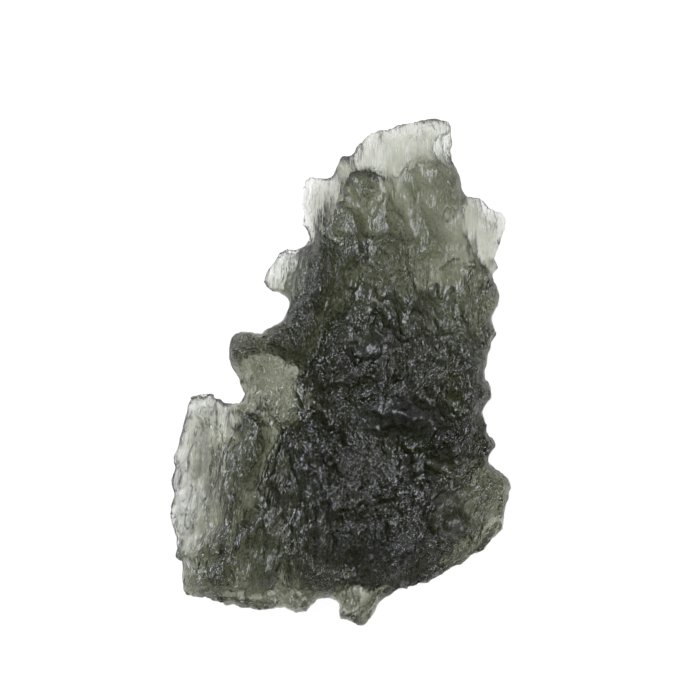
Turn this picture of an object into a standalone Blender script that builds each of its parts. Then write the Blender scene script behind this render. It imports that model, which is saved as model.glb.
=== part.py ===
"""Moldavite: one flat, etched piece of natural green glass, lying on its back on a small flat spot.

The outline is drawn on a square sheet, y down, as it is seen from straight above. The stone is a plate cut
to that outline, whose front and back are then raised: thin at the rim, thicker inside two contour lines, and
carved with ledges, grooves, lumps, scallops and etched flutes. Metres, +Z up, +Y towards the crown, origin
under the middle of the stone on the surface that it rests on.
"""

import math
import random

import bmesh
import bpy
import numpy as np
from mathutils import Vector, noise

MM = 0.001

# Driving dimensions.
STONE_LENGTH = 35.6 * MM
EDGE_THICKNESS = 0.34 * MM
SHELF_THICKNESS = 3.2 * MM
CORE_THICKNESS = 5.5 * MM
PEAK_THICKNESS = 6.8 * MM
PEAK_DISTANCE = 3.4 * MM
FLAT_SPOT_DEPTH = 3.5 * MM

# How the stone is meshed.
PLATE_THICKNESS = 1.0 * MM
VOXEL = 0.27 * MM
MOST_TRIANGLES = 9400
SEED = 15

# The outline, clockwise from the top of the small lobe, in sheet units.
CROWN = (
    (355.5, 145), (363, 140.5), (368, 134), (375, 130), (387, 128.5), (401, 122.5), (412, 122), (418, 119),
    (426, 116.8), (440, 117.5), (445, 120), (450, 119.5), (453, 129), (451.5, 135), (453, 141), (451, 149),
    (452, 162),
)
RIGHT_SHOULDER = ((458, 168.5), (457, 172), (460.5, 177), (460, 182), (462, 192), (466, 196.5))
RIGHT_EAR = (
    (480, 197.3), (485, 200.5), (490, 208.5), (502, 211.5), (506.5, 219), (506, 230), (500, 240), (499, 249),
    (494, 258), (498.5, 267), (490.8, 275.5),
)
RIGHT_FLANK = (
    (497, 285), (501, 296), (499, 305), (494, 314), (492.5, 321), (498, 333), (494.5, 341), (488.5, 355),
    (489.5, 360), (484.5, 370), (485.5, 379), (490, 384), (494, 397), (484, 408), (483, 413), (487.5, 424),
    (485.5, 430), (489.5, 437.5), (495.5, 441), (496.5, 445), (487, 457), (489, 464),
)
RIGHT_CORNER = ((499, 471), (510, 480), (513, 487), (509, 494), (506, 516), (505, 528), (498.5, 535.5))
LOWER_RIGHT_EDGE = (
    (492, 539), (483, 549.5), (472, 553.5), (460, 563), (450, 568), (440, 576), (424, 581), (402, 588),
    (391, 596), (384, 597.5),
)
BOTTOM_NUB = (
    (376.5, 607), (374, 615), (368, 620.5), (359, 625), (351, 621.5), (341, 620), (337, 612), (340, 605),
    (331, 599),
)
BOTTOM_EDGE = (
    (316, 602), (306, 613), (297, 614.5), (284, 609.5), (265, 610.5), (258, 613), (248, 609.5), (240, 610),
    (232, 605.5), (226, 607), (207, 599.5), (187, 597.5),
)
LOWER_LEFT_BLOCK = ((182, 591), (180.5, 578), (182.5, 565))
BLADE = (
    (185, 561), (176, 562.5), (173, 556), (175, 540), (169.5, 526), (167.5, 509), (171, 496), (166.5, 484),
    (171, 471), (172.5, 453), (177, 443), (180.5, 427.5), (185, 414), (187, 399), (196, 393.5), (201, 395.5),
    (207, 391.3), (212, 392.5), (218, 399.5), (228, 404), (243, 403.5),
)
LEFT_KNOB = (
    (244, 393), (239, 387), (239, 378), (233.5, 371), (228, 357), (228.5, 346), (232, 335), (243, 330.3),
    (262, 335),
)
LEFT_SLOPE = ((268, 327.5), (281, 322.5), (287, 310.5), (290.5, 304))
LOWER_EAR = (
    (288, 298), (281, 291.5), (272.5, 292), (262, 283), (266, 270), (279, 249.5), (285, 247), (294, 249),
    (303, 245.5), (308, 238.5), (307.5, 231),
)
UPPER_EAR = ((301, 225), (304.5, 214), (301.5, 205), (301.5, 186), (309, 175.3), (330, 178.5))
SMALL_LOBE = ((336, 169), (338, 160), (340.5, 155), (344, 154.5), (352, 159.5))
OUTLINE = (
    CROWN + RIGHT_SHOULDER + RIGHT_EAR + RIGHT_FLANK + RIGHT_CORNER + LOWER_RIGHT_EDGE + BOTTOM_NUB
    + BOTTOM_EDGE + LOWER_LEFT_BLOCK + BLADE + LEFT_KNOB + LEFT_SLOPE + LOWER_EAR + UPPER_EAR + SMALL_LOBE
)

# Inside this contour line the glass is at least SHELF_THICKNESS thick. The ears, the blade, the crown's tip
# and the knob's rim lie outside it.
SHELF = (
    (342, 213), (348, 198), (354, 184), (366, 177), (380, 179), (396, 186), (411, 182), (426, 176),
    (440, 178), (452, 188), (456, 208), (459, 228), (466, 248), (474, 264), (483, 276), (490, 288),
    (494, 300), (491, 314), (487, 324), (490, 334), (487, 345), (482, 356), (482, 370), (480, 380),
    (484, 392), (480, 404), (478, 414), (481, 426), (481, 436), (487, 444), (481, 457), (484, 466),
    (494, 476), (506, 486), (505, 500), (497, 508), (489, 522), (484, 534), (472, 546), (460, 556),
    (440, 568), (424, 575), (404, 583), (390, 590), (376, 594), (352, 594), (335, 592), (318, 594),
    (300, 602), (285, 601), (262, 602), (240, 600), (222, 598), (200, 590), (190, 584), (190, 572),
    (200, 564), (210, 552), (219, 530), (226, 500), (231, 480), (235, 462), (236, 440), (238, 420),
    (246, 412), (262, 418), (274, 428), (300, 422), (312, 410), (318, 394), (312, 375), (300, 358),
    (285, 356), (265, 356), (250, 359), (240, 357), (236, 346), (246, 338), (262, 340), (276, 332),
    (288, 322), (296, 307), (302, 290), (309, 275), (320, 261), (327, 247), (333, 230),
)

# Inside this one it is at least CORE_THICKNESS thick.
CORE = (
    (334, 250), (342, 240), (350, 238), (354, 250), (350, 275), (345, 300), (340, 318), (345, 330),
    (360, 330), (385, 330), (400, 334), (410, 342), (425, 344), (440, 342), (455, 345), (470, 350),
    (478, 352), (476, 372), (477, 392), (474, 412), (474, 440), (472, 460), (464, 474), (450, 486),
    (446, 505), (452, 520), (458, 534), (456, 548), (440, 560), (420, 570), (400, 578), (384, 585),
    (360, 586), (340, 582), (318, 576), (300, 570), (296, 545), (294, 520), (290, 495), (285, 480),
    (283, 455), (292, 440), (303, 430), (320, 420), (326, 400), (322, 380), (316, 362), (304, 350),
    (285, 351), (268, 346), (270, 338), (284, 327), (295, 311), (304, 293), (311, 281), (324, 266),
)

# Where the rim is thicker than the thin fins' edge, in the form of the lumps below.
THICK_RIMS = (
    ((412, 126), (52, 22), 12, 0.3),     # crown's tip
    ((280, 316), (34, 16), 55, 3.2),     # steep left slope
    ((234, 350), (16, 20), 0, 0.8),      # knob
    ((268, 390), (34, 24), 0, 1.1),      # thin glass under the knob
    ((190, 480), (84, 26), 84, 0.4),     # blade
    ((442, 576), (72, 20), 30, 3.2),     # smooth lower right wall
    ((484, 546), (30, 12), 38, 2.4),
    ((512, 484), (20, 14), 80, 2.2),
    ((502, 518), (14, 7), 80, 0.2),
    ((489, 402), (66, 14), 90, 2.2),     # right flank
    ((494, 300), (44, 12), 88, 1.3),
    ((458, 176), (26, 12), 80, 0.9),
    ((260, 612), (92, 14), 0, 1.8),      # bottom band
    ((182, 580), (26, 14), 85, 1.3),
    ((360, 620), (24, 16), 0, 1.1),
    ((245, 402), (20, 12), 30, 0.3),
    ((344, 160), (12, 10), 0, 0.5),      # small lobe
)

# Lumps (rise above zero) and hollows (below) of the front: middle, half lengths along and across, lean of
# the long way from the sheet's x, anticlockwise in degrees, all but the last in sheet units, rise in mm.
FRONT_FORMS = (
    ((372, 221), (20, 12), 80, -0.8),    # window below the crown
    ((415, 210), (22, 12), 70, -0.3),
    ((377, 172), (19, 8), 5, 0.2),       # dark lumps under the crown's tip
    ((423, 176), (14, 10), 0, 0.2),
    ((400, 168), (12, 7), 80, -0.2),
    ((446, 181), (18, 11), -60, 0.5),
    ((385, 241), (16, 6), 0, 0.6),
    ((437, 274), (18, 7), 88, -0.8),     # smooth lens beside the crest line
    ((332, 314), (42, 9), 60, -1.3),     # olive band down to the knob
    ((303, 364), (20, 9), 56, -0.7),     # bright channel right of the knob
    ((262, 366), (14, 9), 60, 0.4),
    ((258, 345), (20, 7), 10, 0.7),
    ((450, 402), (24, 10), 88, -0.8),    # smooth bite in the right flank
    ((405, 414), (36, 13), -15, 1.7),    # darkest glass
    ((425, 458), (30, 9), -25, -0.7),
    ((352, 560), (15, 10), 60, -0.9),
    ((400, 562), (24, 14), 60, 0.9),
    ((452, 517), (12, 9), 30, 0.9),
    ((468, 505), (24, 10), 78, -0.5),
    ((460, 537), (7, 6), 0, -0.9),
    ((502, 520), (14, 6), 80, -0.7),
    ((254, 448), (34, 9), 78, 0.9),      # blade's dark inner half
    ((234, 500), (30, 8), 80, 0.7),
    ((248, 552), (38, 11), 80, -0.9),    # green band beside the blade
    ((222, 568), (22, 7), 84, 0.8),
    ((316, 290), (26, 13), 60, 0.7),     # broad swells of the dark body
    ((388, 356), (40, 14), 20, 0.6),
    ((352, 470), (52, 22), 68, 0.6),
    ((420, 495), (34, 16), 60, 0.6),
    ((312, 530), (40, 12), 78, 0.6),
    ((300, 592), (12, 10), 0, -0.8),     # scallops of the bottom band
    ((262, 598), (15, 9), 0, -0.7),
    ((226, 596), (12, 8), 0, -0.7),
    ((366, 592), (12, 10), 0, -0.8),
    ((386, 585), (14, 11), 0, -0.7),
    ((346, 612), (9, 12), 80, -1.0),
    ((315, 590), (8, 7), 0, 0.5),
)

# Lumps and hollows of the back, in the same form.
BACK_FORMS = (
    ((350, 200), (26, 20), 80, 0.8),
    ((430, 240), (30, 18), 110, -0.9),
    ((330, 300), (34, 16), 60, -0.8),
    ((420, 330), (30, 24), 70, 0.6),
    ((300, 400), (22, 18), 20, 0.8),
    ((455, 420), (26, 12), 85, 0.7),
    ((270, 500), (44, 14), 78, -0.8),
    ((230, 560), (24, 14), 60, 0.8),
    ((300, 570), (26, 16), 10, -0.9),
    ((450, 500), (28, 18), 50, -0.9),
    ((400, 565), (30, 14), 25, 0.7),
    ((375, 165), (18, 12), 0, -0.7),
)

# Ledges of the front: a line in sheet units, how much higher the glass stands on its right as it is walked,
# how far that step fades out, both in mm.
FRONT_LEDGES = (
    (
        ((243, 402), (255, 410), (268, 418), (279, 430), (274, 441), (262, 465), (252, 490), (245, 508)),
        -0.2, 2.4,
    ),
    (
        ((207, 592), (240, 583), (262, 579), (285, 581), (300, 577), (335, 586), (352, 580), (385, 570)),
        -0.5, 2.4,
    ),
    (((385, 570), (410, 574), (420, 556), (440, 549), (462, 543), (484, 524)), -0.3, 2.0),
    (((442, 224), (438, 250), (441, 272), (437, 300)), 0.3, 1.8),
    (((298, 296), (306, 279), (318, 266), (322, 246)), -0.8, 1.8),
)

# Ledges of the back.
BACK_LEDGES = (
    (((300, 240), (330, 262), (380, 270), (440, 290), (482, 300)), 0.8, 3.0),
    (((232, 420), (262, 470), (268, 520), (262, 590)), 0.9, 2.6),
    (((300, 600), (350, 560), (420, 548), (490, 520)), -0.8, 2.6),
)

# Half the width over which a ledge steps up.
LEDGE_RUN = 0.35 * MM

# Grooves of the front: a line in sheet units, depth and half width in mm.
FRONT_GROOVES = (
    (((243, 404), (258, 411), (270, 421), (280, 431)), 0.7, 0.30),
    (((278, 431), (269, 450), (258, 474), (249, 498), (244, 520)), 1.3, 0.28),
    (((196, 426), (190, 452), (182, 476), (174, 496)), 0.28, 0.24),
    (((212, 430), (202, 452), (208, 466), (199, 488), (209, 508), (213, 526), (205, 560)), 0.3, 0.24),
    (((416, 122), (413, 140), (414, 156)), 0.2, 0.30),
    (((318, 316), (312, 338), (318, 352)), 0.4, 0.40),
    (((404, 300), (402, 340), (398, 372)), 0.45, 0.42),
    (((352, 400), (346, 440), (334, 480)), 0.4, 0.40),
    (((424, 440), (410, 470), (394, 500)), 0.4, 0.40),
)

# Etched flutes, scattered over each side: how many, half lengths and half widths in mm, depth as a share of
# the half width. They are bowls that meet in sharp ridges.
FLUTE_COUNT = 620
FLUTE_HALF_LENGTH = (0.9, 2.0)
FLUTE_HALF_WIDTH = (0.45, 1.0)
FLUTE_DEPTH = (0.4, 0.8)
BACK_FLUTE_SCALE = 1.3

# Bends of the whole plate, up or down, in the form of the lumps above.
BENDS = (
    ((186, 480), (70, 26), 80, -1.3),    # the blade droops
    ((318, 198), (26, 16), 80, 1.2),     # the upper ear lifts
    ((272, 270), (24, 20), 60, -0.9),
    ((232, 350), (30, 20), 80, 0.8),
    ((492, 228), (30, 20), 80, 0.5),
    ((420, 124), (34, 20), 10, -0.8),
    ((496, 300), (24, 12), 80, -0.7),
    ((490, 430), (26, 12), 80, 0.7),
    ((506, 500), (34, 18), 80, -0.6),
    ((356, 616), (20, 16), 0, 0.9),
    ((250, 606), (40, 12), 0, -0.5),
)

# Crinkles of the thin fins, front and back together: height and length of the waves in mm.
CRINKLE_HEIGHT = 0.55
CRINKLE_LENGTH = 1.5

# How far the contour lines wander, and how long their waves are, in mm.
WANDER = 1.1
WANDER_LENGTH = 2.2

# How late the glass thickens from the rim to the shelf: above 1, as in the fins, it stays thin for long, and
# below 1, as over a thick rim, it rises as a round wall.
FIN_CURVE = 1.35
WALL_CURVE = 0.6
WALL_RIM = 0.9

# The slow waves that bend the whole plate, the share of them that the core resists, and the smaller waves on
# each side, in mm.
BEND_HEIGHT = 1.5
BEND_LENGTH = 13.0
CORE_STIFFNESS = 0.5
WAVE_HEIGHT = 0.5
WAVE_LENGTH = 3.4

# How much the rim's thickness varies, as a share, and over what length, in mm.
RIM_VARIES = 0.45
RIM_VARIES_LENGTH = 2.6

# The relief starts this far in from the rim, in mm, and the thin fins keep this share of it.
RELIEF_START = 0.9
FIN_RELIEF = 0.2

# The lean of the old flow, in degrees from x: in the crown, and how much less at the foot and to the right.
# It changes from one height to another and from one side to the other, in sheet units.
CROWN_LEAN = 88.0
FOOT_LEAN = 11.0
RIGHT_LEAN = 16.0
LEAN_STARTS_Y = 280.0
LEAN_RUN_Y = 240.0
LEAN_STARTS_X = 250.0
LEAN_RUN_X = 190.0
LEAN_VARIES = 9.0

# Places in the noise, so that each use of it has waves of its own.
WANDER_PLACES = (11.0, 17.0)
RIM_PLACE = 7.0
BEND_PLACE = 3.0
CRINKLE_PLACE = 31.0
FRONT_PLACE = 21.0
BACK_PLACE = 43.0

# How much of the thickness lies above the bent middle, at the rim and in the core.
FRONT_SHARE_RIM = 0.5
FRONT_SHARE_CORE = 0.56

# Where the flat spot is centred, the half lengths of the swell that carries it and of the calm glass around
# it, in sheet units, the lean of both, the swell's rise in mm, and the share of the relief missing there.
FLAT_SPOT_MIDDLE = (364, 408)
FLAT_SPOT_SWELL = (78, 58)
FLAT_SPOT_CALM = (56, 42)
FLAT_SPOT_LEAN = 78.0
FLAT_SPOT_RISE = 1.3
FLAT_SPOT_QUIET = 0.9
FLATTENED_WITHIN = 0.02 * MM

SHEET_MIDDLE = (340.0, 371.0)
WELD = 1e-7
LEAST_RUN = 1e-9
GLASS_GREEN = (0.16, 0.18, 0.09, 1.0)
GLASS_ROUGHNESS = 0.12
GLASS_IOR = 1.49

DRAWN = np.array(OUTLINE, dtype=float)
SHEET_UNIT = STONE_LENGTH / np.ptp(DRAWN[:, 1])


def on_stone(points):
    """Sheet points as metres on the stone, y turned up."""
    points = np.asarray(points, dtype=float)
    return (points - SHEET_MIDDLE) * (SHEET_UNIT, -SHEET_UNIT)


def clear_scene():
    for obj in list(bpy.data.objects):
        bpy.data.objects.remove(obj, do_unlink=True)


def smooth_step(value):
    value = np.clip(value, 0.0, 1.0)
    return value * value * (3.0 - 2.0 * value)


def segment_offsets(points, line, closed):
    """Distance from each point to a line of segments, and the side: positive to the line's right."""
    starts = line
    ends = np.roll(line, -1, axis=0)
    if not closed:
        starts, ends = starts[:-1], ends[:-1]
    best = np.full(len(points), np.inf)
    side = np.ones(len(points))
    for start, end in zip(starts, ends):
        way = end - start
        gap = points - start
        along = np.clip(gap @ way / (way @ way), 0.0, 1.0)
        apart = np.linalg.norm(gap - along[:, None] * way, axis=1)
        nearer = apart < best
        best[nearer] = apart[nearer]
        turn = gap[:, 1] * way[0] - gap[:, 0] * way[1]
        side[nearer] = np.where(turn[nearer] > 0.0, -1.0, 1.0)
    return best, side


def inside(points, loop):
    """Whether each point is inside a closed loop, by counting the edges to its right."""
    x, y = points.T
    count = np.zeros(len(points), dtype=int)
    for (ax, ay), (bx, by) in zip(loop, np.roll(loop, -1, axis=0)):
        crosses = (ay > y) != (by > y)
        if ay != by:
            count += crosses & (x < (bx - ax) * (y - ay) / (by - ay) + ax)
    return count % 2 == 1


def depth_inside(points, loop):
    """Distance to a loop, positive inside it and negative outside."""
    apart, _ = segment_offsets(points, loop, closed=True)
    return np.where(inside(points, loop), apart, -apart)


def noise_at(points, length, shift):
    """Smooth noise of about -1 to 1 at 2D points, with waves of this length."""
    scale = 1.0 / length
    places = [Vector((x * scale + shift, y * scale - shift, shift)) for x, y in points]
    return np.array([noise.fractal(place, 1.0, 2.0, 3) for place in places])


def wandered(points):
    """The points moved to and fro, so that what is read there has a ragged course."""
    there = points / MM
    shift = [noise_at(there, WANDER_LENGTH, place) for place in WANDER_PLACES]
    return points + WANDER * MM * np.column_stack(shift)


def total_thickness(points):
    """Thickness from the rim inwards, over the shelf and up to the core."""
    rim = np.maximum(depth_inside(points, on_stone(OUTLINE)), 0.0)
    ragged = wandered(points)
    shelf = depth_inside(ragged, on_stone(SHELF))
    core = depth_inside(ragged, on_stone(CORE))
    thicker = forms(points, THICK_RIMS)
    varied = 1.0 + RIM_VARIES * noise_at(points / MM, RIM_VARIES_LENGTH, RIM_PLACE)
    edge = (EDGE_THICKNESS + thicker) * varied
    curve = FIN_CURVE + (WALL_CURVE - FIN_CURVE) * smooth_step(thicker / (WALL_RIM * MM))
    past_shelf = np.maximum(shelf, 0.0)
    to_shelf = rim / np.maximum(rim - np.minimum(shelf, 0.0), LEAST_RUN)
    to_core = past_shelf / np.maximum(past_shelf - np.minimum(core, 0.0), LEAST_RUN)
    to_peak = smooth_step(core / PEAK_DISTANCE)
    outer = edge + (SHELF_THICKNESS - edge) * to_shelf**curve
    inner = SHELF_THICKNESS + (CORE_THICKNESS - SHELF_THICKNESS) * to_core
    middle = CORE_THICKNESS + (PEAK_THICKNESS - CORE_THICKNESS) * to_peak
    thickness = np.where(core > 0.0, middle, np.where(shelf > 0.0, inner, outer))
    return thickness, rim, to_shelf


def reach(points, middle, half, lean):
    """Square of the distance from an ellipse's middle, 1 on the ellipse."""
    turn = math.radians(lean)
    gap = points - on_stone(middle)
    along = gap @ (math.cos(turn), math.sin(turn)) / (half[0] * SHEET_UNIT)
    across = gap @ (-math.sin(turn), math.cos(turn)) / (half[1] * SHEET_UNIT)
    return along**2 + across**2


def bell(points, middle, half, lean):
    """1 at the middle of an ellipse, falling smoothly to about 0 past its edge."""
    return np.exp(-reach(points, middle, half, lean))


def forms(points, listed):
    """Height of the lumps and hollows."""
    height = np.zeros(len(points))
    for middle, half, lean, rise in listed:
        height += rise * MM * bell(points, middle, half, lean)
    return height


def ledges(points, listed):
    """Height of the ledges: half the step on each side of the line, fading out away from it."""
    height = np.zeros(len(points))
    for line, rise, reach in listed:
        apart, side = segment_offsets(points, on_stone(line), closed=False)
        step = np.tanh(apart / LEDGE_RUN) * side
        height += 0.5 * rise * MM * step * np.exp(-((apart / (reach * MM)) ** 2))
    return height


def grooves(points, listed):
    """Depth of the grooves, as a negative height."""
    height = np.zeros(len(points))
    for line, depth, half_width in listed:
        apart, _ = segment_offsets(points, on_stone(line), closed=False)
        height -= depth * MM * np.exp(-((apart / (half_width * MM)) ** 2))
    return height


def flow_lean(x, y):
    """Way that the glass once flowed, in degrees from x: upright in the crown, leaning right at the foot."""
    low = smooth_step((y - LEAN_STARTS_Y) / LEAN_RUN_Y)
    right = smooth_step((x - LEAN_STARTS_X) / LEAN_RUN_X)
    return CROWN_LEAN - low * (FOOT_LEAN + RIGHT_LEAN * right)


def flutes(points, seed, scale):
    """Depth of the etched flutes, long along the flow, as a negative height."""
    draw = random.Random(seed)
    low, high = DRAWN.min(axis=0), DRAWN.max(axis=0)
    height = np.zeros(len(points))
    for _ in range(FLUTE_COUNT):
        x = draw.uniform(low[0], high[0])
        y = draw.uniform(low[1], high[1])
        long_half = draw.uniform(*FLUTE_HALF_LENGTH) * scale * MM
        wide_half = draw.uniform(*FLUTE_HALF_WIDTH) * scale * MM
        depth = draw.uniform(*FLUTE_DEPTH) * wide_half
        lean = flow_lean(x, y) + draw.gauss(0.0, LEAN_VARIES)
        half = (long_half / SHEET_UNIT, wide_half / SHEET_UNIT)
        height = np.minimum(height, depth * (reach(points, (x, y), half, lean) - 1.0))
    return height


def waves(points, shift):
    return WAVE_HEIGHT * MM * noise_at(points / MM, WAVE_LENGTH, shift)


def front_and_back(points):
    """Height of the front and of the back over each point, before the stone is set down."""
    thickness, rim, to_shelf = total_thickness(points)
    body = smooth_step(to_shelf)
    relief_room = smooth_step(rim / (RELIEF_START * MM)) * (FIN_RELIEF + (1.0 - FIN_RELIEF) * body)
    bend = BEND_HEIGHT * MM * noise_at(points / MM, BEND_LENGTH, BEND_PLACE)
    crinkle = CRINKLE_HEIGHT * MM * noise_at(points / MM, CRINKLE_LENGTH, CRINKLE_PLACE)
    middle = bend * (1.0 - CORE_STIFFNESS * body) + crinkle * (1.0 - body) + forms(points, BENDS)
    share = FRONT_SHARE_RIM + (FRONT_SHARE_CORE - FRONT_SHARE_RIM) * body
    carved = forms(points, FRONT_FORMS) + ledges(points, FRONT_LEDGES) + grooves(points, FRONT_GROOVES)
    etched = flutes(points, SEED, 1.0) + waves(points, FRONT_PLACE)
    front = thickness * share + relief_room * (carved + etched)
    hidden = forms(points, BACK_FORMS) + ledges(points, BACK_LEDGES)
    hidden += flutes(points, SEED + 1, BACK_FLUTE_SCALE) + waves(points, BACK_PLACE)
    swell = FLAT_SPOT_RISE * MM * bell(points, FLAT_SPOT_MIDDLE, FLAT_SPOT_SWELL, FLAT_SPOT_LEAN)
    hidden *= 1.0 - FLAT_SPOT_QUIET * bell(points, FLAT_SPOT_MIDDLE, FLAT_SPOT_CALM, FLAT_SPOT_LEAN)
    back = thickness * (1.0 - share) + relief_room * hidden + swell * body
    least = 0.5 * np.minimum(thickness, EDGE_THICKNESS)
    top = middle + np.maximum(front, least)
    bottom = np.maximum(middle - np.maximum(back, least), -FLAT_SPOT_DEPTH)
    return top, bottom


def plate():
    """The outline as a closed plate of small even faces."""
    curve = bpy.data.curves.new("moldavite outline", "CURVE")
    curve.dimensions = "2D"
    curve.fill_mode = "BOTH"
    curve.extrude = PLATE_THICKNESS / 2
    spline = curve.splines.new("POLY")
    corners = on_stone(OUTLINE)
    spline.points.add(len(corners) - 1)
    for point, (x, y) in zip(spline.points, corners):
        point.co = (x, y, 0.0, 1.0)
    spline.use_cyclic_u = True
    drawn = bpy.data.objects.new("moldavite outline", curve)
    bpy.context.scene.collection.objects.link(drawn)
    mesh = new_mesh(drawn)
    bpy.data.objects.remove(drawn, do_unlink=True)
    shape = bmesh.new()
    shape.from_mesh(mesh)
    bmesh.ops.remove_doubles(shape, verts=shape.verts, dist=WELD)
    bmesh.ops.recalc_face_normals(shape, faces=shape.faces)
    shape.to_mesh(mesh)
    shape.free()
    return mesh


def new_mesh(obj):
    """The object as its modifiers leave it, as a mesh of its own."""
    graph = bpy.context.evaluated_depsgraph_get()
    return bpy.data.meshes.new_from_object(obj.evaluated_get(graph))


def with_modifier(obj, kind, **settings):
    """Runs one modifier on the object and keeps its result as the object's mesh."""
    modifier = obj.modifiers.new(kind.lower(), kind)
    for name, value in settings.items():
        setattr(modifier, name, value)
    mesh = new_mesh(obj)
    obj.modifiers.remove(modifier)
    obj.data = mesh


def raise_relief(mesh):
    """Moves the plate's two faces to the stone's front and back, and its wall to lie between them."""
    places = np.empty(len(mesh.vertices) * 3)
    mesh.vertices.foreach_get("co", places)
    places = places.reshape(-1, 3)
    top, bottom = front_and_back(places[:, :2])
    level = np.clip(places[:, 2] / PLATE_THICKNESS + 0.5, 0.0, 1.0)
    places[:, 2] = bottom + (top - bottom) * level
    mesh.vertices.foreach_set("co", places.ravel())
    mesh.update()


def set_down(mesh):
    """Puts the flat spot at height 0 and the middle of the stone's box over the origin."""
    places = np.empty(len(mesh.vertices) * 3)
    mesh.vertices.foreach_get("co", places)
    places = places.reshape(-1, 3)
    low, high = places.min(axis=0), places.max(axis=0)
    places -= ((low[0] + high[0]) / 2, (low[1] + high[1]) / 2, low[2])
    places[places[:, 2] < FLATTENED_WITHIN, 2] = 0.0
    mesh.vertices.foreach_set("co", places.ravel())
    mesh.update()


def glass():
    material = bpy.data.materials.new("olive natural glass")
    material.use_nodes = True
    shader = material.node_tree.nodes["Principled BSDF"]
    shader.inputs["Base Color"].default_value = GLASS_GREEN
    shader.inputs["Roughness"].default_value = GLASS_ROUGHNESS
    shader.inputs["Metallic"].default_value = 0.0
    shader.inputs["IOR"].default_value = GLASS_IOR
    return material


def moldavite():
    mesh = plate()
    mesh.name = "moldavite"
    stone = bpy.data.objects.new("moldavite", mesh)
    home = bpy.data.collections.new("moldavite")
    bpy.context.scene.collection.children.link(home)
    home.objects.link(stone)
    with_modifier(stone, "REMESH", mode="VOXEL", voxel_size=VOXEL)
    raise_relief(stone.data)
    with_modifier(stone, "TRIANGULATE")
    share = MOST_TRIANGLES / len(stone.data.polygons)
    with_modifier(stone, "DECIMATE", ratio=min(1.0, share))
    set_down(stone.data)
    stone.data.materials.append(glass())
    stone.data.shade_smooth()
    return stone


clear_scene()
moldavite()
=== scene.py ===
"""Dresses the moldavite: its etched surface and see-through olive glass, on a pale stage, seen from above.

Laid out as an add-on and run as a script. Metres, +Z up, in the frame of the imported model.
"""

import math

import bmesh
import bpy
import numpy as np
from bpy.props import FloatProperty, FloatVectorProperty, IntProperty, PointerProperty
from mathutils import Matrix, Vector


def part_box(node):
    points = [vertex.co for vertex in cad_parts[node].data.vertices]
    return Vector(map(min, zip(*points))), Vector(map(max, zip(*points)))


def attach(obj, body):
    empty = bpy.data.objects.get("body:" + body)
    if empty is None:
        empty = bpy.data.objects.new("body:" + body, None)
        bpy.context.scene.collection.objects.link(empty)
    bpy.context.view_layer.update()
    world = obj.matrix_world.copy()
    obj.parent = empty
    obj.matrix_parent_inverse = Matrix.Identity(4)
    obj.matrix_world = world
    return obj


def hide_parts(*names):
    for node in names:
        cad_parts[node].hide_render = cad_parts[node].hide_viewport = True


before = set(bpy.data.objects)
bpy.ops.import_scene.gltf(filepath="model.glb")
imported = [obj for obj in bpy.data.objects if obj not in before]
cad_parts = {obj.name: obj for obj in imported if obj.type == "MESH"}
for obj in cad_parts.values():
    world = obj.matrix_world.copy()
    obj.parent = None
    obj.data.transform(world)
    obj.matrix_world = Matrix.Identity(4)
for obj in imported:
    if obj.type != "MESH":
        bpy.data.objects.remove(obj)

bl_info = {
    "name": "Moldavite",
    "version": (1, 0, 0),
    "blender": (4, 5, 0),
    "location": "3D View > Sidebar > Moldavite",
    "description": "Etched olive glass stone on a pale stage",
    "category": "Object",
}

MM = 0.001
STONE = "moldavite"
BODY = "root"

# Digits that a small length shows in the sidebar.
DIGITS = 6

# The sheet that the stone's outline is drawn on has y down. These are its middle, the outline's box on it,
# the stone's own box, and the length in metres of one unit of the sheet.
SHEET_CENTRE = (350.0, 350.0)
SHEET_LOW = np.array((166.5, 625.0))
SHEET_HIGH = np.array((513.0, 116.8))
STONE_LOW, STONE_HIGH = (np.array(corner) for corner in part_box(STONE))
SHEET_UNIT = float((STONE_HIGH[1] - STONE_LOW[1]) / (SHEET_LOW[1] - SHEET_HIGH[1]))

# The lean of the glass's old flow. It grows down the sheet from FLOW_START over FLOW_RUN, to LEAN_LEFT on the
# left, and by LEAN_MORE more from RIGHT_START over RIGHT_RUN to the right.
FLOW_START = 280.0
FLOW_RUN = 240.0
RIGHT_START = 250.0
RIGHT_RUN = 190.0
LEAN_LEFT = 0.20
LEAN_MORE = 0.32

# The blade and the column beside it, which have long striations: middle, and half lengths across and down the
# sheet.
STRIATED_MIDDLE = (222.0, 492.0)
STRIATED_REACH = (84.0, 116.0)

# Smooth places, where the skin glints less: middle, half lengths across and down the sheet, and the share of
# the etching that is missing.
SMOOTH_PLACES = (
    ((420, 268), (78, 62), 0.55),
    ((410, 200), (78, 50), 0.65),
    ((405, 417), (44, 20), 0.85),
    ((372, 345), (26, 14), 0.6),
    ((456, 512), (26, 26), 0.7),
    ((258, 540), (26, 60), 0.5),
    ((432, 462), (40, 14), 0.5),
)

# Where thin glass turns gently into thick glass: middle, and half lengths across and down the sheet.
SOFT_BORDERS = (
    ((405, 170), (62, 22)),
    ((326, 214), (16, 34)),
    ((474, 226), (18, 44)),
    ((300, 276), (14, 28)),
)


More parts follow.
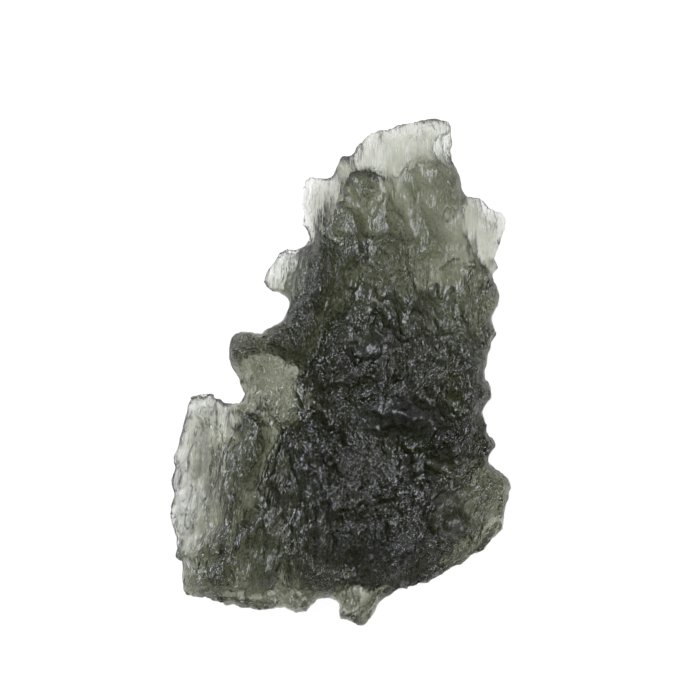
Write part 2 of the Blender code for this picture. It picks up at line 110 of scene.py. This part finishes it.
class StoneSettings(bpy.types.PropertyGroup):
    """Sizes of the etched surface"""

    mesh_size: FloatProperty(
        name="Mesh size", description="Edge of the small faces of the surface",
        default=0.112 * MM, unit="LENGTH", precision=DIGITS,
    )
    pit_width: FloatProperty(
        name="Pit width", description="Width of the common etch pits",
        default=0.85 * MM, unit="LENGTH", precision=DIGITS,
    )
    pit_depth: FloatProperty(
        name="Pit depth", description="Depth of the common etch pits",
        default=0.40 * MM, unit="LENGTH", precision=DIGITS,
    )
    fine_width: FloatProperty(
        name="Fine pit width", description="Width of the fine pits",
        default=0.42 * MM, unit="LENGTH", precision=DIGITS,
    )
    fine_depth: FloatProperty(
        name="Fine pit depth", description="Depth of the fine pits",
        default=0.19 * MM, unit="LENGTH", precision=DIGITS,
    )
    grain_width: FloatProperty(
        name="Grain width", description="Width of the grain",
        default=0.24 * MM, unit="LENGTH", precision=DIGITS,
    )
    grain_height: FloatProperty(
        name="Grain height", description="Height of the grain",
        default=0.20 * MM, unit="LENGTH", precision=DIGITS,
    )
    line_width: FloatProperty(
        name="Line width", description="Width of the flow lines",
        default=0.30 * MM, unit="LENGTH", precision=DIGITS,
    )
    line_height: FloatProperty(
        name="Line height", description="Height of the flow lines",
        default=0.14 * MM, unit="LENGTH", precision=DIGITS,
    )
    furrow_width: FloatProperty(
        name="Furrow spacing", description="Space between the furrows",
        default=1.3 * MM, unit="LENGTH", precision=DIGITS,
    )
    furrow_depth: FloatProperty(
        name="Furrow depth", description="Depth of the furrows",
        default=0.26 * MM, unit="LENGTH", precision=DIGITS,
    )
    stretch: FloatProperty(
        name="Stretch", description="How much longer the pits are along the flow", default=1.9, min=1.0,
    )
    line_stretch: FloatProperty(
        name="Line stretch", description="How much longer the flow lines are than wide", default=6.0, min=1.0,
    )
    thin: FloatProperty(
        name="Thin glass", description="Glass up to this thick is calmly etched",
        default=0.7 * MM, unit="LENGTH", precision=DIGITS,
    )
    thick: FloatProperty(
        name="Thick glass", description="Glass from this thick on is fully etched",
        default=3.2 * MM, unit="LENGTH", precision=DIGITS,
    )
    calm: FloatProperty(
        name="Calm", description="Share of the etching that thin glass has",
        default=0.25, subtype="FACTOR", min=0.0, max=1.0,
    )
    most_faces: IntProperty(
        name="Most triangles", description="Triangles that are kept, most of them on the front",
        default=190000,
    )
    seed: IntProperty(name="Seed", description="Seed of the pits", default=4)


class GlassSettings(bpy.types.PropertyGroup):
    """Colour and skin of the glass"""

    tint: FloatVectorProperty(
        name="Passing colour", description="Colour that the glass lets through",
        subtype="COLOR", size=3, min=0.0, max=1.0, default=(0.375, 0.40, 0.24),
    )
    density: FloatProperty(
        name="Absorption", description="Absorption of the other colours, per metre", default=1050.0, min=0.0,
    )
    ior: FloatProperty(name="IOR", description="Index of refraction", default=1.49, min=1.0)
    roughness: FloatProperty(
        name="Roughness", description="Roughness of the etched skin",
        default=0.17, subtype="FACTOR", min=0.0, max=1.0,
    )
    fin_roughness: FloatProperty(
        name="Frost", description="Roughness of the frosted thin glass",
        default=0.40, subtype="FACTOR", min=0.0, max=1.0,
    )
    matt: FloatProperty(
        name="Matt", description="Roughness that is added where the fine etching is missing",
        default=0.22, subtype="FACTOR", min=0.0, max=1.0,
    )
    grain_width: FloatProperty(
        name="Skin grain", description="Width of the skin's grain",
        default=0.15 * MM, unit="LENGTH", precision=DIGITS,
    )
    grain_height: FloatProperty(
        name="Skin relief", description="Height of the skin's grain",
        default=0.24 * MM, unit="LENGTH", precision=DIGITS,
    )
    grain_stretch: FloatProperty(
        name="Skin stretch", description="How much longer the skin's grain is along the flow",
        default=2.2, min=1.0,
    )
    cell_width: FloatProperty(
        name="Skin cells", description="Width of the skin's small bowls",
        default=0.25 * MM, unit="LENGTH", precision=DIGITS,
    )
    patch_width: FloatProperty(
        name="Skin patches", description="Width of grainy and smooth patches",
        default=1.1 * MM, unit="LENGTH", precision=DIGITS,
    )
    fin_share: FloatProperty(
        name="Thin glass", description="Share of the grain's height that the thin fins have",
        default=0.5, subtype="FACTOR", min=0.0, max=1.0,
    )
    # The grain and the darkest light of the painted shade that the base colour carries in the etched skin.
    painted_shade_width: FloatProperty(
        name="Silt grain", description="Width of the silt's grain",
        default=0.12 * MM, unit="LENGTH", precision=DIGITS,
    )
    painted_shade_light: FloatProperty(
        name="Painted_shade", description="Light that passes the darkest silt in the etched skin",
        default=0.15, subtype="FACTOR", min=0.0, max=1.0,
    )
    quiet_share: FloatProperty(
        name="Smooth patches", description="Share of the grain that smooth patches keep",
        default=0.45, subtype="FACTOR", min=0.0, max=1.0,
    )


class StageSettings(bpy.types.PropertyGroup):
    """The camera and the light"""

    lens: FloatProperty(name="Lens", description="Camera lens, in millimetres", default=120.0, unit="CAMERA")
    field: FloatProperty(
        name="Field", description="Width of the view at the stone", default=49.0 * MM, unit="LENGTH",
    )
    floor_glow: FloatProperty(name="Floor glow", description="Light that the floor gives off", default=0.92)
    sky: FloatProperty(name="Sky", description="Light from all round", default=0.45)
    softbox: FloatProperty(name="Softboxes", description="Brightness of the soft lights", default=9.5)


def on_stone(points):
    """Sheet points as metres in the frame."""
    share = (np.asarray(points, dtype=float) - SHEET_LOW) / (SHEET_HIGH - SHEET_LOW)
    return STONE_LOW[:2] + share * (STONE_HIGH - STONE_LOW)[:2]


def on_sheet(places):
    """Places in the frame as points of the sheet."""
    share = (places[:, :2] - STONE_LOW[:2]) / (STONE_HIGH - STONE_LOW)[:2]
    return SHEET_LOW + share * (SHEET_HIGH - SHEET_LOW)


def oval(sheet, middle, reach):
    """Weight of an oval place: 1 at its middle, a third at its half lengths, none well away from it."""
    apart = (((sheet - np.array(middle)) / reach) ** 2).sum(axis=1)
    return np.exp(-(apart**2))


def striated(places):
    """Share of the long striations: all of it on the blade and the column beside it, none away from them."""
    return oval(on_sheet(places), STRIATED_MIDDLE, STRIATED_REACH)


def etched_share(places):
    """Share of the fine etching: all of it, less in the smooth places."""
    sheet = on_sheet(places)
    share = np.ones(len(sheet))
    for middle, reach, missing in SMOOTH_PLACES:
        share *= 1.0 - missing * oval(sheet, middle, reach)
    return share


def soft_borders(places):
    """Weight of the gentle borders: 1 along them, 0 away from them."""
    sheet = on_sheet(places)
    weight = np.zeros(len(sheet))
    for middle, reach in SOFT_BORDERS:
        weight = np.maximum(weight, oval(sheet, middle, reach))
    return weight


def smooth_step(value):
    """A smooth rise from 0 to 1 as the value goes from 0 to 1."""
    value = np.clip(value, 0.0, 1.0)
    return value * value * (3.0 - 2.0 * value)


def flow_places(places):
    """Coordinates that follow the glass's old flow: across it, along it, and up."""
    sheet = on_sheet(places)
    run = np.clip((sheet[:, 1] - FLOW_START) / FLOW_RUN, 0.0, 1.0)
    past = np.maximum(sheet[:, 1] - FLOW_START - FLOW_RUN, 0.0)
    # The drift adds up a lean that grows by a smooth step over the run.
    drift = FLOW_RUN * (run**3 - 0.5 * run**4) + past
    lean = LEAN_LEFT + LEAN_MORE * smooth_step((sheet[:, 0] - RIGHT_START) / RIGHT_RUN)
    across = places[:, 0] + lean * drift * SHEET_UNIT
    return np.column_stack((across, places[:, 1], places[:, 2]))


def read_vectors(mesh, name):
    """A vector property of the mesh's points, one row a point."""
    values = np.empty(len(mesh.vertices) * 3, dtype=np.float32)
    mesh.vertices.foreach_get(name, values)
    return values.reshape(-1, 3).astype(float)


def set_places(mesh, places):
    """Moves the mesh's points to these places."""
    mesh.vertices.foreach_set("co", places.astype(np.float32).ravel())
    mesh.update()


def triangles_in(mesh):
    """Triangles that the mesh's faces make."""
    return sum(len(face.vertices) - 2 for face in mesh.polygons)


def link(obj):
    """Puts the object into the scene."""
    bpy.context.scene.collection.objects.link(obj)
    return obj


def keep_result(obj):
    """Gives the object the mesh that its modifiers make, and takes them away."""
    graph = bpy.context.evaluated_depsgraph_get()
    mesh = bpy.data.meshes.new_from_object(obj.evaluated_get(graph))
    obj.modifiers.clear()
    obj.data = mesh


# Octaves of a plain noise and of a rougher one.
PLAIN = 1.0
ROUGH = 2.0


class Nodes:
    """A node tree with short calls for its nodes and links."""

    def __init__(self, tree):
        self.tree = tree

    def node(self, kind, inputs=None, **settings):
        """A new node with these settings, whose inputs get values or other nodes' outputs."""
        made = self.tree.nodes.new(kind)
        for name, value in settings.items():
            setattr(made, name, value)
        for key, value in (inputs or {}).items():
            self.feed(made.inputs[key], value)
        return made

    def feed(self, socket, value):
        """Links a node's output to the socket, or sets the socket's own value."""
        if isinstance(value, bpy.types.NodeSocket):
            self.tree.links.new(value, socket)
        else:
            socket.default_value = value

    def math(self, operation, *values):
        """Result of a math node."""
        return self.node("ShaderNodeMath", dict(enumerate(values)), operation=operation).outputs[0]

    def plus(self, first, second):
        """Sum of the two."""
        return self.math("ADD", first, second)

    def minus(self, first, second):
        """The first less the second."""
        return self.math("SUBTRACT", first, second)

    def times(self, first, second):
        """Product of the two."""
        return self.math("MULTIPLY", first, second)

    def mapped(self, value, low, high, to_low=0.0, to_high=1.0):
        """The value taken from one range to another, and held within it."""
        return self.node(
            "ShaderNodeMapRange",
            {"Value": value, "From Min": low, "From Max": high, "To Min": to_low, "To Max": to_high},
        ).outputs[0]

    def noise(self, place, octaves):
        """A noise whose waves are about one unit of the place long."""
        return self.node("ShaderNodeTexNoise", {"Vector": place, "Scale": 1.0, "Detail": octaves}).outputs[0]

    def bowls(self, place):
        """Bowls about one unit of the place wide, which meet in sharp ridges."""
        apart = self.node("ShaderNodeTexVoronoi", {"Vector": place, "Scale": 1.0}).outputs["Distance"]
        return self.times(apart, apart)


class GeometryTree(Nodes):
    """A new geometry node tree with named inputs."""

    def __init__(self, name):
        super().__init__(bpy.data.node_groups.new(name, "GeometryNodeTree"))
        self.identifiers = {}

    def add_input(self, name, kind):
        """Adds a named input, and keeps the identifier that a modifier needs."""
        made = self.tree.interface.new_socket(name, in_out="INPUT", socket_type=f"NodeSocket{kind}")
        self.identifiers[name] = made.identifier

    def vector(self, operation, *values):
        """Result of a vector math node."""
        return self.node("ShaderNodeVectorMath", dict(enumerate(values)), operation=operation).outputs[0]

    def attribute(self, name, kind="FLOAT"):
        """An attribute of the geometry."""
        return self.node("GeometryNodeInputNamedAttribute", {"Name": name}, data_type=kind).outputs[0]

    def stored(self, geometry, name, value):
        """The geometry with the value as a new attribute."""
        inputs = {"Geometry": geometry, "Name": name, "Value": value}
        return self.node("GeometryNodeStoreNamedAttribute", inputs, data_type="FLOAT").outputs[0]

    def raised(self, geometry, height):
        """The geometry moved along its normals by this height."""
        normal = self.node("GeometryNodeInputNormal").outputs[0]
        offset = self.node("ShaderNodeVectorMath", {0: normal, "Scale": height}, operation="SCALE").outputs[0]
        return self.node("GeometryNodeSetPosition", {"Geometry": geometry, "Offset": offset}).outputs[0]


# Squared distance in a bowl, and value of a noise, that leave the surface where it is.
BOWL_MIDDLE = 0.35
NOISE_MIDDLE = 0.5

# How far a noise may be from its middle within a furrow.
FURROW_SHARE = 0.10

# Rays that measure the glass start this far above and below, and are this long.
RAY_START = 50.0 * MM
RAY_LENGTH = 100.0 * MM

# Steps that blur the thickness over the surface.
THICKNESS_BLUR = 4

# Away from the striations the furrows have the first share of their depth. Where the glass is striated, its
# lines are higher by the second share, and its fine pits and grain are lower by the third.
FURROWS_ELSEWHERE = 0.35
MORE_LINES = 1.3
FEWER_PITS = 0.5

ETCH_INPUTS = (
    "Pit width", "Pit depth", "Fine width", "Fine depth", "Grain width", "Grain height", "Line width",
    "Line height", "Furrow width", "Furrow depth", "Stretch", "Line stretch", "Thin", "Thick", "Calm",
)


def stretched(tree, width, stretch, shift):
    """Texture places whose unit is this width across the flow, and longer along it."""
    place = tree.attribute("flow_place", "FLOAT_VECTOR")
    size = tree.node("ShaderNodeCombineXYZ", {"X": width, "Y": tree.times(width, stretch), "Z": width})
    return tree.vector("ADD", tree.vector("DIVIDE", place, size.outputs[0]), shift)


def pits(tree, width, depth, stretch, shift):
    """Height of bowls that meet in sharp ridges, longer along the flow."""
    bowl = tree.bowls(stretched(tree, width, stretch, shift))
    return tree.times(tree.minus(bowl, BOWL_MIDDLE), depth)


def grain(tree, width, height, stretch, shift):
    """Height of a noise, longer along the flow."""
    waves = tree.noise(stretched(tree, width, stretch, shift), ROUGH)
    return tree.times(tree.minus(waves, NOISE_MIDDLE), height)


def furrows(tree, width, depth, stretch, shift):
    """Thin furrows that wind along the flow: how much of one is at each point, and its negative height."""
    waves = tree.noise(stretched(tree, width, stretch, shift), PLAIN)
    near = tree.mapped(tree.math("ABSOLUTE", tree.minus(waves, NOISE_MIDDLE)), FURROW_SHARE, 0.0)
    share = tree.times(near, near)
    return share, tree.times(share, tree.times(depth, -1.0))


def glass_depth(tree, geometry):
    """How thick the glass is under each point, seen from above."""
    here = tree.node("ShaderNodeSeparateXYZ", {0: tree.node("GeometryNodeInputPosition").outputs[0]}).outputs
    heights = []
    for start, way in ((RAY_START, -1.0), (-RAY_START, 1.0)):
        source = tree.node("ShaderNodeCombineXYZ", {"X": here["X"], "Y": here["Y"], "Z": start}).outputs[0]
        ray = tree.node(
            "GeometryNodeRaycast",
            {"Target Geometry": geometry, "Source Position": source, "Ray Direction": (0.0, 0.0, way),
             "Ray Length": RAY_LENGTH},
        )
        hit = tree.node("ShaderNodeSeparateXYZ", {0: ray.outputs["Hit Position"]}).outputs["Z"]
        heights.append(hit)
    return tree.minus(*heights)


def with_thickness(tree, given):
    """The geometry with its thickness as an attribute: 0 for thin glass, 1 for thick glass."""
    depth = tree.mapped(glass_depth(tree, given["Geometry"]), given["Thin"], given["Thick"])
    inputs = {"Value": depth, "Iterations": THICKNESS_BLUR}
    soft = tree.node("GeometryNodeBlurAttribute", inputs, data_type="FLOAT").outputs[0]
    return tree.stored(given["Geometry"], "thickness", soft)


def etched_shape(tree, given, shift):
    """The geometry as etching leaves it: pits, then fine pits, lines and furrows, then grain."""
    stretch = given["Stretch"]
    line_stretch = given["Line stretch"]
    long = tree.attribute("striated")
    shape = with_thickness(tree, given)
    more = tree.times(tree.minus(1.0, given["Calm"]), tree.attribute("thickness"))
    etch = tree.plus(given["Calm"], more)
    common = pits(tree, given["Pit width"], given["Pit depth"], stretch, shift)
    shape = tree.raised(shape, tree.times(etch, common))
    fine = pits(tree, given["Fine width"], given["Fine depth"], stretch, shift)
    lines = grain(tree, given["Line width"], given["Line height"], line_stretch, shift)
    lines = tree.times(lines, tree.plus(1.0, tree.times(long, MORE_LINES)))
    deep = tree.plus(FURROWS_ELSEWHERE, tree.times(long, 1.0 - FURROWS_ELSEWHERE))
    deep = tree.times(given["Furrow depth"], deep)
    furrow, cuts = furrows(tree, given["Furrow width"], deep, line_stretch, shift)
    # The furrows' share is kept so that the shader can paint shade into them.
    shape = tree.stored(shape, "furrow", tree.times(furrow, long))
    etch = tree.times(etch, tree.attribute("etched_share"))
    etch = tree.times(etch, tree.minus(1.0, tree.times(long, FEWER_PITS)))
    shape = tree.raised(shape, tree.plus(tree.plus(tree.times(etch, fine), lines), cuts))
    rough = grain(tree, given["Grain width"], given["Grain height"], stretch, shift)
    return tree.raised(shape, tree.times(etch, rough))


def etched_tree():
    """A node tree that etches a surface and gives it its material."""
    tree = GeometryTree("etched surface")
    tree.add_input("Geometry", "Geometry")
    for name in ETCH_INPUTS:
        tree.add_input(name, "Float")
    tree.add_input("Seed", "Int")
    tree.add_input("Material", "Material")
    tree.tree.interface.new_socket("Geometry", in_out="OUTPUT", socket_type="NodeSocketGeometry")
    given = tree.node("NodeGroupInput").outputs
    shift = tree.node("ShaderNodeCombineXYZ", {axis: given["Seed"] for axis in "XYZ"}).outputs[0]
    shape = etched_shape(tree, given, shift)
    real = tree.node("GeometryNodeRealizeInstances", {"Geometry": shape}).outputs[0]
    done = tree.node("GeometryNodeSetMaterial", {"Geometry": real, "Material": given["Material"]}).outputs[0]
    tree.node("NodeGroupOutput", {0: done})
    return tree


class Shader(Nodes):
    """A new material with short calls for its nodes and links."""

    def __init__(self, name):
        self.material = bpy.data.materials.new(name)
        self.material.use_nodes = True
        super().__init__(self.material.node_tree)
        self.principled = self.tree.nodes["Principled BSDF"]
        self.output = self.tree.nodes["Material Output"]

    def attribute(self, name, output="Fac"):
        """An attribute of the mesh."""
        return self.node("ShaderNodeAttribute", attribute_name=name).outputs[output]

    def mixed(self, share, first, second):
        """A blend from the first, at a share of 0, to the second, at 1."""
        return self.node("ShaderNodeMix", {"Factor": share, "A": first, "B": second}).outputs[0]

    def flow(self, width, stretch):
        """Texture places whose unit is this width across the flow, and longer along it."""
        place = self.attribute("flow_place", "Vector")
        scale = (1.0 / width, 1.0 / width / stretch, 1.0 / width)
        return self.node("ShaderNodeMapping", {"Vector": place, "Scale": scale}).outputs[0]


# Share of the bowls beside the grain, and how much longer than wide a streak of the skin is.
BOWL_SHARE = 0.5
STREAK_STRETCH = 9.0

# Values of a noise where smooth patches end and grainy ones start.
PATCH_LOW = 0.42
PATCH_HIGH = 0.56

# Values of a noise from the darkest painted shade to none, and the share of the painted shade on thin glass.
# The painted shade stands in for the dark that the rough skin gives.
PAINTED_SHADE_LOW = 0.38
PAINTED_SHADE_HIGH = 0.52
PAINTED_SHADE_ON_FINS = 0.06

# Share of the streaks in striated skin, and of the light that painted shade holds back in its furrows.
STRIATED_SKIN = 0.6
FURROW_PAINTED_SHADE = 0.65

# Thickness, from 0 to 1, at which the frost ends.
FROST_END = 0.6


def skin_height(shader, settings):
    """Height of the skin's fine relief: grain and small bowls, and streaks on fins and in striated glass."""
    thickness = shader.attribute("thickness")
    fine = shader.noise(shader.flow(settings.grain_width, settings.grain_stretch), PLAIN)
    streaks = shader.noise(shader.flow(settings.grain_width, STREAK_STRETCH), PLAIN)
    patches = shader.noise(shader.flow(settings.patch_width, settings.grain_stretch), ROUGH)
    bowls = shader.bowls(shader.flow(settings.cell_width, settings.grain_stretch))
    rough = shader.plus(shader.times(bowls, BOWL_SHARE), fine)
    rough = shader.times(rough, shader.mapped(patches, PATCH_LOW, PATCH_HIGH, settings.quiet_share))
    rough = shader.times(rough, shader.attribute("etched_share"))
    height = shader.mixed(thickness, shader.times(streaks, settings.fin_share), rough)
    long = shader.times(shader.times(shader.attribute("striated"), thickness), STRIATED_SKIN)
    return shader.mixed(long, height, streaks)


def painted_skin_shade(shader, settings):
    """Painted shade in the base colour: dark specks in thick glass's skin, and darker furrows."""
    thickness = shader.attribute("thickness")
    specks = shader.noise(shader.flow(settings.painted_shade_width, settings.grain_stretch), PLAIN)
    # Painted shade: dark specks in the skin's base colour, most of them on thick glass.
    painted_shade = shader.mapped(specks, PAINTED_SHADE_LOW, PAINTED_SHADE_HIGH, settings.painted_shade_light)
    clear = shader.plus(shader.times(painted_shade, PAINTED_SHADE_ON_FINS), 1.0 - PAINTED_SHADE_ON_FINS)
    shade = shader.mixed(shader.times(thickness, thickness), clear, painted_shade)
    # Painted shade: the base colour is darker in the striated furrows.
    painted_furrow_shade = shader.times(shader.attribute("furrow"), FURROW_PAINTED_SHADE)
    return shader.times(shade, shader.minus(1.0, painted_furrow_shade))


def skin_roughness(shader, settings):
    """Roughness of the skin: frosted thin glass, glossy thick glass, and matt smooth places."""
    frost = shader.mapped(
        shader.attribute("thickness"), 0.0, FROST_END, settings.fin_roughness, settings.roughness,
    )
    matt = shader.times(shader.minus(1.0, shader.attribute("etched_share")), settings.matt)
    return shader.plus(frost, matt)


def glass_material(settings):
    """See-through olive glass, tinted by its depth, with a finely etched skin."""
    shader = Shader("olive natural glass")
    skin = shader.principled.inputs
    skin["Transmission Weight"].default_value = 1.0
    skin["IOR"].default_value = settings.ior
    depth = shader.node("ShaderNodeVolumeAbsorption")
    depth.inputs["Color"].default_value = (*settings.tint, 1.0)
    depth.inputs["Density"].default_value = settings.density
    shader.feed(shader.output.inputs["Volume"], depth.outputs[0])
    relief = {"Strength": 1.0, "Distance": settings.grain_height, "Height": skin_height(shader, settings)}
    shader.feed(skin["Normal"], shader.node("ShaderNodeBump", relief).outputs[0])
    # The base colour carries painted shade, in the etched skin and in the furrows.
    shader.feed(skin["Base Color"], painted_skin_shade(shader, settings))
    shader.feed(skin["Roughness"], skin_roughness(shader, settings))
    return shader.material


# Steps that round the whole surface, that round it further up and down, and that round the soft borders.
SURFACE_STEPS = 2
EDGE_STEPS = 10
BORDER_STEPS = 120
SMOOTH_FACTOR = 0.5

# Least weight that puts a point in the soft borders.
LEAST_WEIGHT = 0.02

# Points of the solid that are nearer than this are one.
JOIN_DISTANCE = 0.001 * MM

# Thickness, from 0 to 1, from which the back of the glass isn't seen.
HIDDEN_FROM = 0.5


def joined_copy(node):
    """A copy of a CAD node's mesh with its loose triangles joined."""
    shape = bmesh.new()
    shape.from_mesh(bpy.data.objects[node].data)
    bmesh.ops.remove_doubles(shape, verts=shape.verts, dist=JOIN_DISTANCE)
    mesh = bpy.data.meshes.new("stone")
    shape.to_mesh(mesh)
    shape.free()
    return mesh


def smoothed(stone, steps, upright=False, group=""):
    """Smooths the stone in all directions, or only up and down, which leaves its outline and sharp rims."""
    smooth = stone.modifiers.new("smooth", "SMOOTH")
    smooth.factor = SMOOTH_FACTOR
    smooth.iterations = steps
    smooth.use_x = smooth.use_y = not upright
    smooth.vertex_group = group


def make_even(stone, mesh_size):
    """Gives the stone one closed surface of small even faces."""
    remesh = stone.modifiers.new("even", "REMESH")
    remesh.mode = "VOXEL"
    remesh.voxel_size = mesh_size
    smoothed(stone, SURFACE_STEPS)
    smoothed(stone, EDGE_STEPS, upright=True)
    keep_result(stone)


def soften_borders(stone):
    """Rounds the steps between thin and thick glass where they are gentle."""
    group = stone.vertex_groups.new(name="soft borders")
    for index, weight in enumerate(soft_borders(read_vectors(stone.data, "co")).tolist()):
        if weight > LEAST_WEIGHT:
            group.add((index,), weight, "REPLACE")
    smoothed(stone, BORDER_STEPS, upright=True, group=group.name)
    keep_result(stone)
    stone.vertex_groups.clear()


def store_places(mesh):
    """Keeps the flow's coordinates and the shares of striation and fine etching as attributes."""
    places = read_vectors(mesh, "co")
    flow = mesh.attributes.new("flow_place", "FLOAT_VECTOR", "POINT")
    flow.data.foreach_set("vector", flow_places(places).astype(np.float32).ravel())
    for name, share in (("striated", striated), ("etched_share", etched_share)):
        kept = mesh.attributes.new(name, "FLOAT", "POINT")
        kept.data.foreach_set("value", share(places).astype(np.float32))


def etch(stone, sizes, glass):
    """Etches the stone's surface."""
    tree = etched_tree()
    etching = stone.modifiers.new("etching", "NODES")
    etching.node_group = tree.tree
    # Each input is named after its setting.
    for name in (*ETCH_INPUTS, "Seed"):
        etching[tree.identifiers[name]] = getattr(sizes, name.lower().replace(" ", "_"))
    etching[tree.identifiers["Material"]] = glass
    keep_result(stone)


def fewer_triangles(stone, share, group=""):
    """Keeps this share of the stone's triangles, and takes the others from the group if one is named."""
    stone.modifiers.new("triangles", "TRIANGULATE")
    fewer = stone.modifiers.new("fewer", "DECIMATE")
    fewer.ratio = min(1.0, share)
    fewer.vertex_group = group
    keep_result(stone)


def lighten(stone, most_faces):
    """Leaves fewer triangles, first where the stone is thick and seen from behind, then everywhere."""
    mesh = stone.data
    thickness = np.empty(len(mesh.vertices), dtype=np.float32)
    mesh.attributes["thickness"].data.foreach_get("value", thickness)
    behind = (read_vectors(mesh, "normal")[:, 2] < 0.0) & (thickness > HIDDEN_FROM)
    group = stone.vertex_groups.new(name="back")
    group.add(np.flatnonzero(behind).tolist(), 1.0, "REPLACE")
    fewer_triangles(stone, most_faces / triangles_in(mesh), group.name)
    stone.vertex_groups.clear()
    fewer_triangles(stone, most_faces / triangles_in(stone.data))


def settle(mesh):
    """Sets the stone's lowest point on the floor."""
    places = read_vectors(mesh, "co")
    places[:, 2] -= places[:, 2].min()
    set_places(mesh, places)


def etched_stone(sizes, glass):
    """The stone with its etched surface, as one closed mesh."""
    stone = link(bpy.data.objects.new("stone", joined_copy(STONE)))
    make_even(stone, sizes.mesh_size)
    soften_borders(stone)
    store_places(stone.data)
    stone.data.shade_smooth()
    etch(stone, sizes, glass)
    lighten(stone, sizes.most_faces)
    settle(stone.data)
    stone.data.shade_smooth()
    return stone


class MOLDAVITE_OT_stone(bpy.types.Operator):
    """Makes the etched stone that stands for the plain solid"""

    bl_idname = "moldavite.stone"
    bl_label = "Etched Stone"

    def execute(self, context):
        scene = context.scene
        stone = etched_stone(scene.moldavite_stone, glass_material(scene.moldavite_glass))
        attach(stone, BODY)
        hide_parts(STONE)
        return {"FINISHED"}


FLOOR_SIZE = 0.8
FLOOR_GREY = (0.12, 0.12, 0.12, 1.0)
FLOOR_ROUGHNESS = 0.8
WHITE = (1.0, 1.0, 1.0, 1.0)
SKY_COLOUR = (0.95, 0.96, 1.0, 1.0)

# Soft lights: name, place, width and height, share of the softboxes' brightness, and colour.
LIGHTS = (
    ("left softbox", (-0.13, 0.09, 0.14), (0.15, 0.15), 1.0, (0.88, 0.90, 1.0)),
    ("right softbox", (0.14, -0.05, 0.10), (0.08, 0.12), 0.6, (1.0, 0.97, 1.0)),
)
LIGHT_TARGET = Vector((0.0, 0.0, 0.004))

# The camera's sensor in millimetres, and how near and how far it sees in metres.
SENSOR = 36.0
NEAREST = 0.005
FARTHEST = 10.0

# How often light may bounce in and on the glass, and the brightest that one bounced ray may be.
GLASS_BOUNCES = 24
GLOSSY_BOUNCES = 16
BRIGHTEST_BOUNCE = 1.0


def floor_material(glow):
    """A pale floor that gives off some light, as a lit table does."""
    shader = Shader("pale floor")
    surface = shader.principled.inputs
    surface["Base Color"].default_value = FLOOR_GREY
    surface["Roughness"].default_value = FLOOR_ROUGHNESS
    surface["Emission Color"].default_value = WHITE
    surface["Emission Strength"].default_value = glow
    return shader.material


def add_floor(glow):
    """The floor under the stone."""
    bpy.ops.mesh.primitive_plane_add(size=FLOOR_SIZE)
    floor = bpy.context.active_object
    floor.name = "floor"
    floor.data.materials.append(floor_material(glow))


def soft_room(strength):
    """Even light from all round."""
    world = bpy.data.worlds.new("soft room")
    world.use_nodes = True
    background = world.node_tree.nodes["Background"].inputs
    background["Color"].default_value = SKY_COLOUR
    background["Strength"].default_value = strength
    return world


def add_light(name, place, size, brightness, colour):
    """A soft light that faces the stone and is as bright whatever its size."""
    width, height = size
    light = bpy.data.lights.new(name, "AREA")
    light.shape = "RECTANGLE"
    light.size = width
    light.size_y = height
    light.energy = brightness * math.pi * width * height
    light.color = colour
    obj = link(bpy.data.objects.new(name, light))
    obj.location = place
    obj.rotation_euler = (LIGHT_TARGET - Vector(place)).to_track_quat("-Z", "Y").to_euler()


def add_camera(settings):
    """A camera straight above the sheet's middle. It looks down because it isn't turned."""
    data = bpy.data.cameras.new("camera")
    data.lens = settings.lens
    data.sensor_width = SENSOR
    data.clip_start = NEAREST
    data.clip_end = FARTHEST
    camera = link(bpy.data.objects.new("camera", data))
    distance = settings.field * settings.lens / data.sensor_width
    camera.location = (*on_stone(SHEET_CENTRE), 0.5 * STONE_HIGH[2] + distance)
    bpy.context.scene.camera = camera


def set_light_paths(scene):
    """Lets light pass the thick glass, and keeps stray bright points down."""
    scene.view_settings.view_transform = "Standard"
    scene.cycles.max_bounces = GLASS_BOUNCES
    scene.cycles.transmission_bounces = GLASS_BOUNCES
    scene.cycles.glossy_bounces = GLOSSY_BOUNCES
    scene.cycles.sample_clamp_indirect = BRIGHTEST_BOUNCE


class MOLDAVITE_OT_stage(bpy.types.Operator):
    """Makes the pale floor, the soft lights and the camera above the stone"""

    bl_idname = "moldavite.stage"
    bl_label = "Stage"

    def execute(self, context):
        scene = context.scene
        settings = scene.moldavite_stage
        add_floor(settings.floor_glow)
        scene.world = soft_room(settings.sky)
        for name, place, size, share, colour in LIGHTS:
            add_light(name, place, size, settings.softbox * share, colour)
        add_camera(settings)
        set_light_paths(scene)
        return {"FINISHED"}


class MOLDAVITE_PT_panel(bpy.types.Panel):
    """Lists the stone's sizes, its glass and the stage"""

    bl_idname = "MOLDAVITE_PT_panel"
    bl_label = "Moldavite"
    bl_space_type = "VIEW_3D"
    bl_region_type = "UI"
    bl_category = "Moldavite"

    def draw(self, context):
        for group, operator in (
            ("moldavite_stone", "moldavite.stone"), ("moldavite_glass", None),
            ("moldavite_stage", "moldavite.stage"),
        ):
            box = self.layout.box()
            settings = getattr(context.scene, group)
            for name in settings.__annotations__:
                box.prop(settings, name)
            if operator:
                box.operator(operator)


GROUPS = {
    "moldavite_stone": StoneSettings, "moldavite_glass": GlassSettings, "moldavite_stage": StageSettings,
}
CLASSES = (*GROUPS.values(), MOLDAVITE_OT_stone, MOLDAVITE_OT_stage, MOLDAVITE_PT_panel)


def register():
    for made in CLASSES:
        bpy.utils.register_class(made)
    for name, group in GROUPS.items():
        setattr(bpy.types.Scene, name, PointerProperty(type=group))


def unregister():
    for name in GROUPS:
        delattr(bpy.types.Scene, name)
    for made in reversed(CLASSES):
        bpy.utils.unregister_class(made)


def main():
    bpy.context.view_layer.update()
    register()
    bpy.ops.moldavite.stage()
    bpy.ops.moldavite.stone()


if __name__ == "__main__":
    main()
